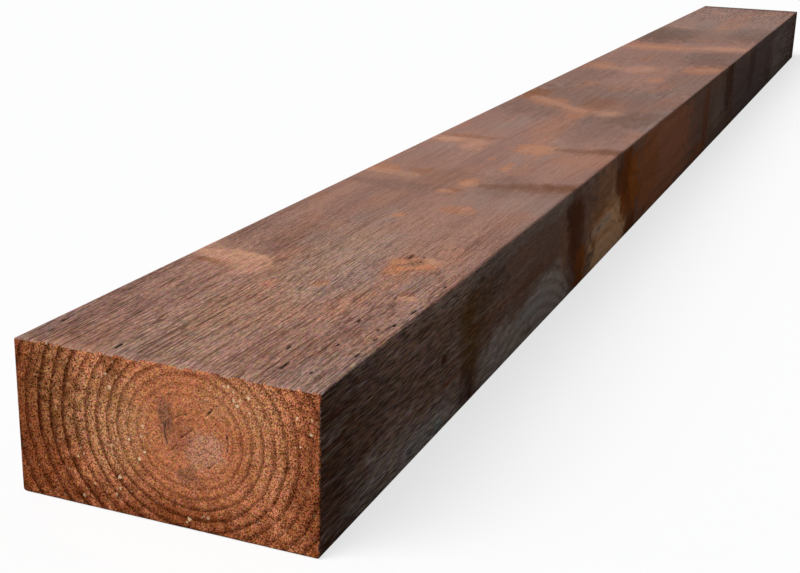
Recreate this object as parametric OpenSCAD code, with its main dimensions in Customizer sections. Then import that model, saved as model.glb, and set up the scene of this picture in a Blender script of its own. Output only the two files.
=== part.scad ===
// Softwood railway sleeper for gardens and landscaping: one baulk sawn from the heart of a log,
// square cut at both ends and pressure treated, lying on its broad face.
// Millimetres. X runs along the grain, Y across the broad face and Z up from the bed face.
// The origin is in the middle of the bed face.

/* [Baulk] */
// Length between the two saw cuts
sleeper_length = 2400; // [600:10:3600]
// Width of the broad face
sleeper_width = 200; // [120:1:300]
// Thickness from the bed face to the top face
sleeper_height = 100; // [60:1:200]

/* [Edges] */
// Radius of the four long edges, eased by handling
long_edge_radius = 2.5; // [0.5:0.1:12]
// Width of the broken edge round each saw cut
end_edge_bevel = 1; // [0.2:0.1:6]

/* [Finish] */
// Colour of the brown treated timber
timber_colour = "#83604f"; // [#83604f:Brown, #6f4a36:Dark brown, #8c8260:Green]

/* [Hidden] */
$fn = 48;

// How far the trimming outlines run past the baulk: enough to clear the eased and broken edges
trim_margin = long_edge_radius + end_edge_bevel;

// The sawn section in its own plane, centred on the width and standing on the bed line:
// two crossed rectangles with a true quarter round in each corner.
module section_outline(width, height, radius) {
    translate([-width / 2 + radius, 0])
        square([width - 2 * radius, height]);
    translate([-width / 2, radius])
        square([width, height - 2 * radius]);
    for (side = [-1, 1], level = [radius, height - radius])
        translate([side * (width / 2 - radius), level])
            circle(r = radius);
}

// A long rectangle whose four corners are cut off at 45 degrees. The bevel's line is carried on
// past the edges it breaks, by along past the end and by across past the long edge, so that the
// outline trims only what it has to: the corner, or the corner and the end.
module bevelled_outline(length, width, bevel, along, across) {
    end_x = length / 2 + along;
    end_y = width / 2 - bevel - along;
    edge_x = length / 2 - bevel - across;
    edge_y = width / 2 + across;
    polygon([
        [end_x, -end_y], [end_x, end_y],
        [edge_x, edge_y], [-edge_x, edge_y],
        [-end_x, end_y], [-end_x, -end_y],
        [-edge_x, -edge_y], [edge_x, -edge_y],
    ]);
}

// The baulk as it leaves the saw: the section run out along the grain, past both ends.
module sawn_baulk() {
    rotate([90, 0, 90])
        linear_extrude(sleeper_length + 2 * trim_margin, center = true)
            section_outline(sleeper_width, sleeper_height, long_edge_radius);
}

// Seen from the side: the two saw cuts that set the length, with the top and bottom edges broken.
module end_cuts() {
    translate([0, 0, sleeper_height / 2])
        rotate([90, 0, 0])
            linear_extrude(sleeper_width + 2 * trim_margin, center = true)
                bevelled_outline(sleeper_length, sleeper_height, end_edge_bevel, 0, trim_margin);
}

// Seen from above: the upright edges of both saw cuts, broken by the same bevel.
module upright_edge_cuts() {
    translate([0, 0, -trim_margin])
        linear_extrude(sleeper_height + 2 * trim_margin)
            bevelled_outline(sleeper_length, sleeper_width, end_edge_bevel, trim_margin, trim_margin);
}

module sleeper() {
    color(timber_colour)
        intersection() {
            sawn_baulk();
            end_cuts();
            upright_edge_cuts();
        }
}

sleeper();
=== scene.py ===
# %% [markdown]
# # A railway sleeper of treated softwood
#
# A sleeper is one sawn baulk: a log squared by the saw, cut to length, and soaked in preservative.
# It has no parts to assemble, so all of its looks are in the timber: the growth rings on the sawn
# ends, the knots that the branches left, and the torn fibre that a coarse saw raises. This lesson
# models the baulk as one closed mesh and then builds its timber from a few shader node groups.

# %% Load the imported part
import math

import bmesh
import bpy
import numpy as np
from mathutils import Matrix, Vector, noise


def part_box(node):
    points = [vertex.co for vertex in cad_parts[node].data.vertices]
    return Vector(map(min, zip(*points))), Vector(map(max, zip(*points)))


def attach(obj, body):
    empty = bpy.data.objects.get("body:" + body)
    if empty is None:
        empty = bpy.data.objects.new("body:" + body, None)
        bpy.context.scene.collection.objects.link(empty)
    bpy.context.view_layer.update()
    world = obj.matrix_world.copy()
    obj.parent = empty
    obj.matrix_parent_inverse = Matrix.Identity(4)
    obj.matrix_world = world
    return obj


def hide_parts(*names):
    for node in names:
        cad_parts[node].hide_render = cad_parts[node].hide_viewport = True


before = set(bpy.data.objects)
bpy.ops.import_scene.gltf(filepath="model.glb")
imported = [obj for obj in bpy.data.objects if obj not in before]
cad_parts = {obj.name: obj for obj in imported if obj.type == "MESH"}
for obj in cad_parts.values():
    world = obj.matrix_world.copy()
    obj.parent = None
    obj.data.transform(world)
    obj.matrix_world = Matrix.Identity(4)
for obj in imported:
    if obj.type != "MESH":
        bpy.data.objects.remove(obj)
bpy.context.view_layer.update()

MM = 0.001
low, high = (Vector(corner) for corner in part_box("sleeper"))
length, width, height = high - low
print(f"baulk of {length:.3f} x {width:.3f} x {height:.3f} m, pieces: {list(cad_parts)}")

# %% [markdown]
# ## The camera
#
# The viewer stands off one end, a little to the right of the baulk, and looks down along it. A camera
# can be aimed with a Track To constraint, but its tilt would then stay level. Building the three axes
# of the camera from its bearing, its fall and its roll gives all of it in one matrix.

# %% Camera
scene = bpy.context.scene
CAMERA_PLACE = Vector((-1.7813, -0.3729, 0.3653))
CAMERA_BEARING = math.radians(21.58)
CAMERA_FALL = math.radians(17.68)
CAMERA_ROLL = math.radians(1.66)
CAMERA_LENS_MM = 58.6
UPWARDS = Vector((0, 0, 1))

backwards = Vector((
    -math.cos(CAMERA_BEARING) * math.cos(CAMERA_FALL),
    -math.sin(CAMERA_BEARING) * math.cos(CAMERA_FALL),
    math.sin(CAMERA_FALL),
))
rightwards = UPWARDS.cross(backwards).normalized()
camera_axes = Matrix((rightwards, backwards.cross(rightwards), backwards)).transposed()
camera_data = bpy.data.cameras.new("camera")
camera_data.lens = CAMERA_LENS_MM
camera = bpy.data.objects.new("camera", camera_data)
camera.matrix_world = (
    Matrix.Translation(CAMERA_PLACE)
    @ camera_axes.to_4x4()
    @ Matrix.Rotation(CAMERA_ROLL, 4, "Z")
)
scene.collection.objects.link(camera)
scene.camera = camera
print(f"camera {(CAMERA_PLACE - low).length:.2f} m from the near corner, lens {CAMERA_LENS_MM} mm")

# %% [markdown]
# ## Small helpers for node trees
#
# Every material below is a tree of nodes. Adding a node, setting its values and linking its sockets
# takes several lines each time, so two short functions do it: one for any node, and one for the Math
# nodes that turn up again and again. An input that is a socket is linked, and any other input is a
# value to set.

# %% Node helpers
def add_node(tree, kind, inputs=None, **settings):
    """Adds a node, sets its properties, and sets or links its inputs."""
    node = tree.nodes.new(kind)
    for name, value in settings.items():
        setattr(node, name, value)
    for socket, value in (inputs or {}).items():
        if isinstance(value, bpy.types.NodeSocket):
            tree.links.new(value, node.inputs[socket])
        else:
            node.inputs[socket].default_value = value
    return node


def calc(tree, operation, *values, clamp=False):
    """One Math node; returns its result."""
    inputs = dict(enumerate(values))
    return add_node(tree, "ShaderNodeMath", inputs, operation=operation, use_clamp=clamp).outputs[0]


print("add_node and calc are ready")

# %% [markdown]
# ## The floor
#
# The baulk lies on a pale floor, and one of its sides is in a deep shade. A white floor would throw
# light back into that shade, so this one is white only to the eye: a Light Path node shows the camera
# a white floor, which glows a little so that the shadow on it stays faint, and lets the timber see a
# grey one.

# %% Floor
FLOOR_RADIUS = 12.0
FLOOR_SIDES = 64
FLOOR_SEEN = (0.98, 0.98, 0.98, 1)
FLOOR_FELT = (0.2, 0.2, 0.2, 1)
FLOOR_GLOW = 0.72
WHITE = (1, 1, 1, 1)


def seen_directly(tree):
    """1 for rays from the camera, a reflection or glass, and 0 for light on a surface."""
    rays = add_node(tree, "ShaderNodeLightPath").outputs
    mirrored = calc(tree, "MAXIMUM", rays["Is Glossy Ray"], rays["Is Transmission Ray"])
    return calc(tree, "MAXIMUM", rays["Is Camera Ray"], mirrored)


def mix_shaders(tree, amount, under, over):
    """Mixes one shader over another."""
    return add_node(tree, "ShaderNodeMixShader", {0: amount, 1: under, 2: over}).outputs[0]


def new_material(name):
    """A material with an empty node tree; returns both."""
    material = bpy.data.materials.new(name)
    material.use_nodes = True
    material.node_tree.nodes.clear()
    return material, material.node_tree


floor_bm = bmesh.new()
bmesh.ops.create_circle(floor_bm, cap_ends=True, segments=FLOOR_SIDES, radius=FLOOR_RADIUS)
floor_mesh = bpy.data.meshes.new("floor")
floor_bm.to_mesh(floor_mesh)
floor_bm.free()
floor = bpy.data.objects.new("floor", floor_mesh)
scene.collection.objects.link(floor)

floor_material, tree = new_material("floor")
felt = add_node(tree, "ShaderNodeBsdfDiffuse", {"Color": FLOOR_FELT}).outputs[0]
matt = add_node(tree, "ShaderNodeBsdfDiffuse", {"Color": FLOOR_SEEN}).outputs[0]
glow = add_node(tree, "ShaderNodeEmission", {"Color": WHITE, "Strength": 1.0}).outputs[0]
seen = mix_shaders(tree, FLOOR_GLOW, matt, glow)
floor_shader = mix_shaders(tree, seen_directly(tree), felt, seen)
add_node(tree, "ShaderNodeOutputMaterial", {"Surface": floor_shader})
floor_mesh.materials.append(floor_material)
print(f"floor with a radius of {FLOOR_RADIUS} m")

# %% [markdown]
# ## The light
#
# One very wide, soft lamp stands high on the left and a little in front, with a low even light from
# all round. The side away from the lamp is then the shaded one. The surround is white to the eye, in
# the same way as the floor.

# %% Light
LAMP_TOWARDS = Vector((-0.62, 0.42, 0.66))
LAMP_STRENGTH = 3.8
LAMP_SPREAD = math.radians(50)
AMBIENT_COLOUR = (0.9, 0.95, 1, 1)
AMBIENT_STRENGTH = 0.16

lamp_data = bpy.data.lights.new("soft_lamp", "SUN")
lamp_data.energy = LAMP_STRENGTH
lamp_data.angle = LAMP_SPREAD
lamp = bpy.data.objects.new("soft_lamp", lamp_data)
lamp.rotation_euler = LAMP_TOWARDS.to_track_quat("Z", "Y").to_euler()
scene.collection.objects.link(lamp)

world = bpy.data.worlds.new("studio")
world.use_nodes = True
tree = world.node_tree
tree.nodes.clear()
ambient = add_node(tree, "ShaderNodeBackground", {"Color": AMBIENT_COLOUR, "Strength": AMBIENT_STRENGTH})
backdrop = add_node(tree, "ShaderNodeBackground", {"Color": WHITE, "Strength": 1.0})
surround = mix_shaders(tree, seen_directly(tree), ambient.outputs[0], backdrop.outputs[0])
add_node(tree, "ShaderNodeOutputWorld", {"Surface": surround})
scene.world = world
scene.view_settings.view_transform = "Standard"
print(f"one soft lamp over {math.degrees(LAMP_SPREAD):.0f} degrees, and an even light of {AMBIENT_STRENGTH}")

# %% [markdown]
# ## The sawn baulk
#
# The baulk is a plain rectangle of timber, but nothing about its surface is plain, so it needs enough
# vertices to carry torn fibre, knots and splits. A Subdivision Surface would give every face the same
# density. Cutting the edges of a cube axis by axis gives each direction its own count instead: fine
# across the grain, where the fibre is narrow, and coarse along it. The cuts along the length are then
# drawn together towards the near end, which is seen from close by.

# %% Baulk mesh
CUTS_ALONG = 196
CUTS_ACROSS = 112
CUTS_UP = 56
NEAR_SPACING = 0.45
ARRIS_RADIUS = 2.5 * MM
END_BEVEL = 1.0 * MM
SHORTEST_EDGE = 0.01 * MM


def edges_along(bm, axis):
    """Every edge that runs along one axis."""
    return [edge for edge in bm.edges if abs((edge.verts[1].co - edge.verts[0].co)[axis]) > SHORTEST_EDGE]


bm = bmesh.new()
bmesh.ops.create_cube(bm, size=1.0)
bmesh.ops.scale(bm, vec=(length, width, height), verts=bm.verts)
bmesh.ops.translate(bm, vec=(low + high) / 2, verts=bm.verts)
for axis, cuts in enumerate((CUTS_ALONG, CUTS_ACROSS, CUTS_UP)):
    bmesh.ops.subdivide_edges(bm, edges=edges_along(bm, axis), cuts=cuts)

for vert in bm.verts:
    step = round((vert.co.x - low.x) / length * (CUTS_ALONG + 1))
    share = step / (CUTS_ALONG + 1)
    eased = share * (NEAR_SPACING + (1 - NEAR_SPACING) * share)
    vert.co.x = low.x + length * eased
    if step == 1:
        vert.co.x = low.x + END_BEVEL
    if step == CUTS_ALONG:
        vert.co.x = high.x - END_BEVEL
print(f"grid of {len(bm.verts)} vertices and {len(bm.faces)} faces")

# %% [markdown]
# ### Its edges
#
# The saw leaves four long arrises, which handling rubs to a small round, and eight end edges, which
# are only just broken. A Bevel would do both, but it would also break the even grid at the corners.
# Pulling the outer vertices onto a rounded outline keeps the grid whole: a vertex is measured from the
# nearest point of an inner box, and moved to the radius from it.

# %% Rounded arrises
def pull_to_outline(place, inset):
    """Moves a point of the section onto the rounded outline, set in by a distance."""
    inner = Vector((
        place.x,
        min(max(place.y, low.y + ARRIS_RADIUS), high.y - ARRIS_RADIUS),
        min(max(place.z, low.z + ARRIS_RADIUS), high.z - ARRIS_RADIUS),
    ))
    outward = place - inner
    if outward.length > ARRIS_RADIUS - inset:
        outward = outward.normalized() * (ARRIS_RADIUS - inset)
    return inner + outward


for vert in bm.verts:
    at_end = min(vert.co.x - low.x, high.x - vert.co.x) < END_BEVEL / 2
    vert.co = pull_to_outline(vert.co, END_BEVEL if at_end else 0.0)
bm.normal_update()
print(f"arrises rounded to {ARRIS_RADIUS / MM} mm, end edges broken by {END_BEVEL / MM} mm")

# %% [markdown]
# ## The heart of the log
#
# The baulk was cut out of a whole log, and its heart runs inside it from end to end, wandering a
# little. The rings, the knots and the splits in the ends all start from it.

# %% Heart of the log
HEART = Vector((0, -18 * MM, 59 * MM))
HEART_SWAY = (7 * MM, 5 * MM)
HEART_TURNS = (4.2, 5.7)


def heart_at(x):
    """The heart's place in the section at a station along the baulk."""
    sway_y = HEART_SWAY[0] * math.sin(HEART_TURNS[0] * (x - low.x))
    sway_z = HEART_SWAY[1] * math.sin(HEART_TURNS[1] * (x - low.x))
    return Vector((x, HEART.y + sway_y, HEART.z + sway_z))


print(f"heart {(high.z - heart_at(low.x).z) / MM:.0f} mm under the top at the near end")

# %% [markdown]
# ## Knots
#
# Branches leave the heart in rings, one ring of branches for each year of growth, and lean towards
# the top of the tree. Where a branch comes out squarely through a sawn face it is seen as a round
# knot, and where the saw ran along it, it is a long spike across the face.

# %% Knots
# Each round knot: the face it shows on, how far along from the near end, how far across that face
# (from the left on the top and bed, down from the top on the sides), its radius, all in mm,
# and its shade, from -1 for dark to 1 for pale.
ROUND_KNOTS = (
    ("top", 161, 86, 4, 0.5),
    ("top", 168, 115, 3, 0.5),
    ("top", 169, 182, 6, 0.3),
    ("top", 250, 156, 13, 0.5),
    ("top", 369, 93, 4, 0.5),
    ("top", 416, 137, 4, 0.5),
    ("top", 467, 98, 5, 0.6),
    ("top", 502, 108, 9, 0.7),
    ("top", 580, 120, 4, 0.5),
    ("top", 682, 120, 18, 0.6),
    ("top", 927, 135, 10, 0.7),
    ("top", 910, 180, 10, -0.5),
    ("top", 1030, 12, 8, -0.6),
    ("top", 1225, 127, 7, 0.5),
    ("top", 1322, 41, 12, 0.6),
    ("top", 1335, 98, 9, 0.5),
    ("top", 1363, 175, 12, 0.5),
    ("top", 1486, 171, 9, -0.7),
    ("top", 1743, 33, 9, -0.7),
    ("top", 1930, 40, 12, 0.6),
    ("top", 1950, 110, 8, 0.5),
    ("top", 1960, 170, 10, -0.5),
    ("top", 2250, 60, 12, 0.6),
    ("top", 2270, 150, 9, 0.3),
    ("front", 194, 49, 4, -0.6),
    ("front", 400, 89, 4, -0.5),
    ("front", 614, 72, 4, -0.5),
    ("front", 1176, 92, 6, -0.3),
    ("front", 1240, 80, 9, -0.7),
    ("back", 230, 72, 10, -0.2),
    ("back", 540, 60, 13, -0.6),
    ("back", 710, 78, 9, 0.4),
    ("back", 1010, 40, 12, -0.5),
    ("back", 1320, 66, 11, 0.3),
    ("back", 1630, 35, 12, -0.7),
    ("back", 1960, 70, 10, 0.2),
    ("back", 2280, 45, 12, -0.5),
    ("bed", 230, 110, 11, 0.3),
    ("bed", 520, 60, 12, -0.4),
    ("bed", 700, 140, 10, 0.5),
    ("bed", 985, 90, 12, -0.6),
    ("bed", 1295, 60, 10, 0.4),
    ("bed", 1625, 130, 12, -0.5),
    ("bed", 1955, 100, 11, 0.3),
    ("bed", 2265, 80, 10, -0.4),
)
# Each spike: its face, where it starts and ends on it as along and across, its radius at both, and
# its shade.
SPIKES = (
    ("top", (222, 0), (195, 44), (8, 13), 1.0),
    ("top", (518, 0), (512, 48), (7, 9), 0.8),
    ("top", (500, 125), (538, 200), (7, 11), -0.7),
    ("top", (696, 0), (690, 50), (8, 9), 0.7),
    ("top", (690, 140), (706, 200), (7, 11), -0.7),
    ("top", (1000, 25), (930, 100), (8, 9), 0.7),
    ("top", (1588, 0), (1600, 90), (12, 10), 0.6),
    ("top", (1610, 110), (1650, 200), (9, 11), 0.5),
    ("front", (236, 45), (247, 100), (8, 12), -0.7),
    ("front", (528, 0), (560, 100), (8, 14), -0.8),
    ("front", (708, 0), (785, 100), (9, 15), -0.8),
    ("front", (1440, 0), (1455, 60), (11, 6), -0.6),
    ("front", (1690, 15), (1705, 50), (9, 6), -0.5),
    ("front", (1930, 35), (1965, 75), (8, 10), -0.6),
)
print(f"{len(ROUND_KNOTS)} round knots and {len(SPIKES)} spikes")

# %% [markdown]
# ### The branches behind the knots
#
# The knots aren't painted on the faces. Each one is a branch in space, a tapered rod that the faces
# cut through. A round knot's branch starts at the heart, and a spike's lies in the face.

# %% Branches
LEAN = 0.45
OVERSHOOT = 1.2


def face_point(face, along, across):
    """A place on one of the long faces, from millimetres along and across it."""
    x = low.x + along * MM
    if face in ("top", "bed"):
        return Vector((x, high.y - across * MM, high.z if face == "top" else low.z))
    return Vector((x, low.y if face == "front" else high.y, high.z - across * MM))


def branch_between(root, tip, girths, shade):
    """A tapered rod from its root to its tip, as the values that the knot group takes."""
    return {
        "Root": root, "Run": tip - root, "Girth": girths[0] * MM,
        "Flare": (girths[1] - girths[0]) * MM, "Shade": shade,
    }


def branch_through(face, along, across, radius, shade):
    """The branch that leaves the heart and shows as a round knot."""
    shown = face_point(face, along, across)
    heart = heart_at(shown.x)
    root = heart - Vector((LEAN * (shown - heart).length, 0, 0))
    tip = root + OVERSHOOT * (shown - root)
    return branch_between(root, tip, (radius / 2, radius), shade)


branches = [branch_through(*knot) for knot in ROUND_KNOTS]
for face, start, stop, girths, shade in SPIKES:
    branches.append(branch_between(face_point(face, *start), face_point(face, *stop), girths, shade))
print(f"{len(branches)} branches in the baulk")

# %% [markdown]
# ## Splits and tears
#
# As a baulk dries, its ends split: checks run out from the heart like spokes, and shakes follow a
# ring where two years of growth part. On the top face the saw tore out short slivers of fibre, and two
# of the knots cracked across.

# %% Splits and tears
# Each check: where it starts and ends on the end face, in mm across from the left and down from the
# top, then its half width and its depth in mm.
NEAR_CHECKS = (
    ((111, 44), (121, 36), 0.5, 1.0),
    ((129, 27), (134, 21), 0.55, 1.2),
    ((105, 53), (110, 47), 0.5, 1.0),
    ((126, 47), (133, 50), 0.4, 0.8),
)
# Each shake: its radius round the heart in mm, the angles it runs between, half width and depth.
NEAR_SHAKES = (
    (16.2, 150, 216, 0.55, 1.4),
    (13.2, 76, 150, 0.45, 0.7),
    (21.0, 300, 325, 0.5, 1.0),
    (24.6, 345, 375, 0.55, 1.0),
)
FAR_CHECKS = (
    ((100, 30), (128, 50), 0.8, 4.0),
    ((118, 38), (126, 18), 0.7, 3.0),
)
FAR_SHAKES = ((20.0, 200, 260, 0.7, 3.0),)
# Each tear on the top face: its middle as along and across, and its length, in mm.
TEARS = (
    (62, 193, 8),
    (92, 192, 6),
    (120, 193, 6),
    (149, 194, 11),
    (207, 194, 7),
    (108, 187, 4),
    (30, 163, 13),
    (118, 170, 6),
    (57, 152, 7),
    (16, 63, 9),
    (27, 181, 4),
    (22, 12, 8),
    (40, 8, 6),
    (74, 176, 5),
)
# Each crack in a knot of the top face: its two ends as along and across, half its width and its depth.
CRACKS = (
    ((239, 146), (249, 153), 1.3, 1.6),
    ((249, 153), (257, 160), 1.2, 1.5),
    ((244, 157), (255, 149), 1.0, 1.2),
    ((258, 147), (269, 147), 1.2, 1.5),
    ((264, 156), (270, 156), 1.0, 1.2),
    ((166, 174), (172, 173), 0.9, 1.0),
)
splits = NEAR_CHECKS + NEAR_SHAKES + FAR_CHECKS + FAR_SHAKES
print(f"{len(splits)} splits in the ends, {len(TEARS)} tears and {len(CRACKS)} cracks in the top")

# %% [markdown]
# ### Finer cuts where they lie
#
# All of these are thinner than the grid, so the grid is first cut finer where they lie. They are
# pressed into it later, as narrow V-shaped grooves.

# %% Finer cuts
FINE_REACH = 26 * MM
FINE_CUTS = 2
# A normal that leans further than this towards a face counts as lying on it.
FACING = 0.5
TEAR_REACH = 3 * MM
# The sizes of the grooves are in mm, as in the tables.
TEAR_HALF_WIDTH = 1.1
TEAR_DEPTH = 1.3
# How strongly shade is painted into the tears and into the cracks of the knots.
TEAR_PAINTED_SHADE = 0.9
CRACK_PAINTED_SHADE = 0.65


def refine(bm, wanted):
    """Cuts the wanted faces finer."""
    edges = list({edge for face in bm.faces if wanted(face) for edge in face.edges})
    bmesh.ops.subdivide_edges(bm, edges=edges, cuts=FINE_CUTS, use_grid_fill=True)


def tear_ends(along, across, span):
    """The two ends of a tear, as places on the top face."""
    return [face_point("top", along + sign * span / 2, across) for sign in (-1, 1)]


def near_heart(face):
    """Whether a face of either end lies close to the heart."""
    centre = face.calc_center_median()
    x = low.x if centre.x < 0 else high.x
    return abs(centre.x - x) < END_BEVEL / 2 and (centre - heart_at(x)).length < FINE_REACH


top_grooves = [(*tear_ends(*tear), TEAR_HALF_WIDTH, TEAR_DEPTH, TEAR_PAINTED_SHADE) for tear in TEARS]
for first, last, half_width, deep in CRACKS:
    ends = (face_point("top", *first), face_point("top", *last))
    top_grooves.append((*ends, half_width, deep, CRACK_PAINTED_SHADE))


def near_groove(face):
    """Whether a face of the top lies at a tear or a crack."""
    centre = face.calc_center_median()
    if face.normal.z < FACING:
        return False
    for start, stop, *size in top_grooves:
        aside = centre - (start + stop) / 2
        run = stop - start
        if max(abs(aside.x) - abs(run.x) / 2, abs(aside.y) - abs(run.y) / 2) < TEAR_REACH:
            return True
    return False


refine(bm, near_heart)
refine(bm, near_groove)
bm.normal_update()
print(f"{len(bm.faces)} faces after the finer cuts for {len(top_grooves)} grooves and the splits")

# %% [markdown]
# ## Relief
#
# All the roughness is pressed inwards from the sawn planes, so the baulk never grows past its true
# size. The long faces get shallow furrows along the grain and knots that stand a little proud, since
# a knot is harder than the timber round it. The ends get the coarse tooth of a cross-cut saw. NumPy
# works on all the vertices at once.

# %% Relief
bm.verts.ensure_lookup_table()
places = np.array([vert.co for vert in bm.verts])
normals = np.array([vert.normal for vert in bm.verts])
on_end = np.abs(normals[:, 0]) > FACING
REST_DEPTH = 0.4 * MM
# Each relief: the scale of its noise along each axis, a shift of the noise, and its depth.
FURROWS = ((9.0, 240.0, 240.0), 1.3, 0.35 * MM)
SWELLS = ((3.0, 26.0, 26.0), 2.9, 0.3 * MM)
TOOTH = ((0.0, 330.0, 330.0), 4.7, 0.3 * MM)
KNOT_PROUD = 0.35 * MM
KNOT_BROW = 1.3
KNOT_STRETCH = 1.25
CALM_EDGE = 8 * MM
LEAST_RELIEF = 0.2


def relief(points, scales, shift, deep):
    """Perlin noise at every point, from minus to plus a depth."""
    scaled = points * np.array(scales) + shift
    return deep * np.array([noise.noise(point) for point in scaled.tolist()])


def knot_nearness(points, branch):
    """Distance from the middle line of a branch in units of its radius."""
    run = np.array(branch["Run"])
    offsets = points - np.array(branch["Root"])
    share = np.clip(offsets @ run / (run @ run), 0, 1)
    aside = (offsets - share[:, None] * run) / (KNOT_STRETCH, 1, 1)
    return np.linalg.norm(aside, axis=1) / (branch["Girth"] + share * branch["Flare"])


gaps = np.stack([
    length / 2 - np.abs(places[:, 0]),
    width / 2 - np.abs(places[:, 1]),
    np.minimum(places[:, 2], height - places[:, 2]),
])
from_arris = np.sort(gaps, axis=0)[1]
fade = np.clip(from_arris / CALM_EDGE, LEAST_RELIEF, 1)
nearest_knot = np.min([knot_nearness(places, branch) for branch in branches], axis=0)
proud = KNOT_PROUD * np.clip(KNOT_BROW - nearest_knot, 0, 1)
sawn_along = relief(places, *FURROWS) + relief(places, *SWELLS) - proud
depth = REST_DEPTH + fade * np.where(on_end, relief(places, *TOOTH), sawn_along)
print(f"relief of up to {depth.max() / MM:.2f} mm")

# %% [markdown]
# ### Pressing in the splits and tears
#
# A straight groove is measured from a line between two points, and a shake from a circle round the
# heart. How far into a groove a place lies is kept as an attribute named hollow, which the materials
# read to paint shade into it.

# %% Press in the splits and tears
GROOVE_TAPER = 4
BLUNT_TIP = 0.3
SHAKE_TAPER = 6
hollow = np.zeros(len(places))


def press(distance, half_width, deep, taper, dark=1.0):
    """Deepens a V-shaped groove at the points near its line."""
    share = np.clip(1 - distance / (half_width * MM), 0, 1) * taper
    np.maximum(hollow, share * dark, out=hollow)
    depth[:] += share * deep * MM


def straight_groove(facing, start, stop, half_width, deep, dark=1.0):
    """A straight groove between two places on a face."""
    run = np.array(stop - start)
    share = np.clip((places - np.array(start)) @ run / (run @ run), 0, 1)
    distance = np.linalg.norm(places - np.array(start) - share[:, None] * run, axis=1)
    taper = np.minimum(1, GROOVE_TAPER * np.minimum(share, 1 - share) + BLUNT_TIP) * facing
    press(distance, half_width, deep, taper, dark)


def shake_groove(facing, heart, radius, first, last, half_width, deep):
    """A groove that follows a ring between two angles."""
    dy = places[:, 1] - heart.y
    dz = places[:, 2] - heart.z
    angle = (np.degrees(np.arctan2(dz, -dy)) - first) % 360
    share = angle / (last - first)
    taper = np.clip(SHAKE_TAPER * np.minimum(share, 1 - share), 0, 1) * facing
    press(np.abs(np.hypot(dy, dz) - radius * MM), half_width, deep, taper)


for x, checks, shakes in ((low.x, NEAR_CHECKS, NEAR_SHAKES), (high.x, FAR_CHECKS, FAR_SHAKES)):
    facing = on_end & (np.abs(places[:, 0] - x) < END_BEVEL / 2)
    for start, stop, half_width, deep in checks:
        ends = [Vector((x, high.y - across * MM, high.z - down * MM)) for across, down in (start, stop)]
        straight_groove(facing, *ends, half_width, deep)
    for shake in shakes:
        shake_groove(facing, heart_at(x), *shake)
for groove in top_grooves:
    straight_groove(normals[:, 2] > FACING, *groove)

moved = np.clip(places - normals * depth[:, None], np.array(low), np.array(high))
hollow_layer = bm.verts.layers.float.new("hollow")
for vert, place, torn in zip(bm.verts, moved.tolist(), hollow.tolist()):
    vert.co = place
    vert[hollow_layer] = torn
bm.normal_update()
print(f"{int((hollow > 0).sum())} vertices in grooves, deepest {depth.max() / MM:.1f} mm")

# %% [markdown]
# ## A flat map of the faces
#
# A baked copy of the timber needs a place for every face on one square picture. An automatic unwrap
# would give the long faces and the ends the same share. Laying the four long faces out as strips and
# giving the two ends a larger block each keeps the rings sharp, since the ends are seen closest.

# %% Flat map
MAP_MARGIN = 0.006
# Each strip: its lowest edge and its height on the square map.
STRIPS = {"top": (0.0, 0.25), "front": (0.25, 0.15), "back": (0.4, 0.14), "bed": (0.54, 0.17)}
ENDS_FLOOR = 0.71
ENDS_HEIGHT = 0.29
END_WIDTH = 0.5


def side_of(normal):
    """Which face of the baulk a normal belongs to."""
    sizes = [abs(part) for part in normal]
    axis = sizes.index(max(sizes))
    names = (("far_end", "near_end"), ("back", "front"), ("top", "bed"))
    return names[axis][0 if normal[axis] > 0 else 1]


def between(value, start, stop):
    """Places a share from 0 to 1 between two edges of the map, inside a margin."""
    return start + MAP_MARGIN + value * (stop - start - 2 * MAP_MARGIN)


flat_map = bm.loops.layers.uv.new("OFBake")
for face in bm.faces:
    side = side_of(face.normal)
    for loop in face.loops:
        along = (loop.vert.co.x - low.x) / length
        across = (loop.vert.co.y - low.y) / width
        up = (loop.vert.co.z - low.z) / height
        if side in STRIPS:
            start, size = STRIPS[side]
            share = across if side in ("top", "bed") else up
            loop[flat_map].uv = (between(along, 0, 1), between(share, start, start + size))
        else:
            start = 0.0 if side == "near_end" else END_WIDTH
            rise = between(up, ENDS_FLOOR, ENDS_FLOOR + ENDS_HEIGHT)
            loop[flat_map].uv = (between(across, start, start + END_WIDTH), rise)
    face.material_index = 0 if side in STRIPS else 1
    face.smooth = True
print(f"faces laid out in {len(STRIPS)} strips and two end blocks")

# %% [markdown]
# ## Helpers for the timber
#
# The timber needs more kinds of node than the floor does: vectors, smooth ramps, mixed colours, and
# noises that are stretched along the grain. It also uses node groups, which work like functions: a
# group is built once, with named sockets, and is then placed wherever it is needed.

# %% Helpers for textures and groups
def calc_vector(tree, operation, *values, result="Vector"):
    """One Vector Math node; returns its vector, or its Value where asked."""
    inputs = dict(enumerate(values))
    return add_node(tree, "ShaderNodeVectorMath", inputs, operation=operation).outputs[result]


def ramp(tree, value, start, stop, out_start=0.0, out_stop=1.0):
    """A smooth step of a value from one range to another."""
    inputs = {"Value": value, 1: start, 2: stop, 3: out_start, 4: out_stop}
    node = add_node(tree, "ShaderNodeMapRange", inputs, interpolation_type="SMOOTHSTEP", clamp=False)
    return node.outputs["Result"]


def tint(tree, amount, under, over, blend="MIX"):
    """Mixes a colour over another."""
    # A Mix node has sockets for each kind of data: 6 and 7 take the colours, and 2 gives the result.
    inputs = {0: amount, 6: under, 7: over}
    return add_node(tree, "ShaderNodeMix", inputs, data_type="RGBA", blend_type=blend).outputs[2]


def fractal(tree, place, scales, detail=2.0, roughness=0.5):
    """A noise of its own scale along each axis, from 0 to 1."""
    stretched = calc_vector(tree, "MULTIPLY", place, scales)
    inputs = {"Vector": stretched, "Scale": 1.0, "Detail": detail, "Roughness": roughness}
    return add_node(tree, "ShaderNodeTexNoise", inputs).outputs[0]


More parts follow.
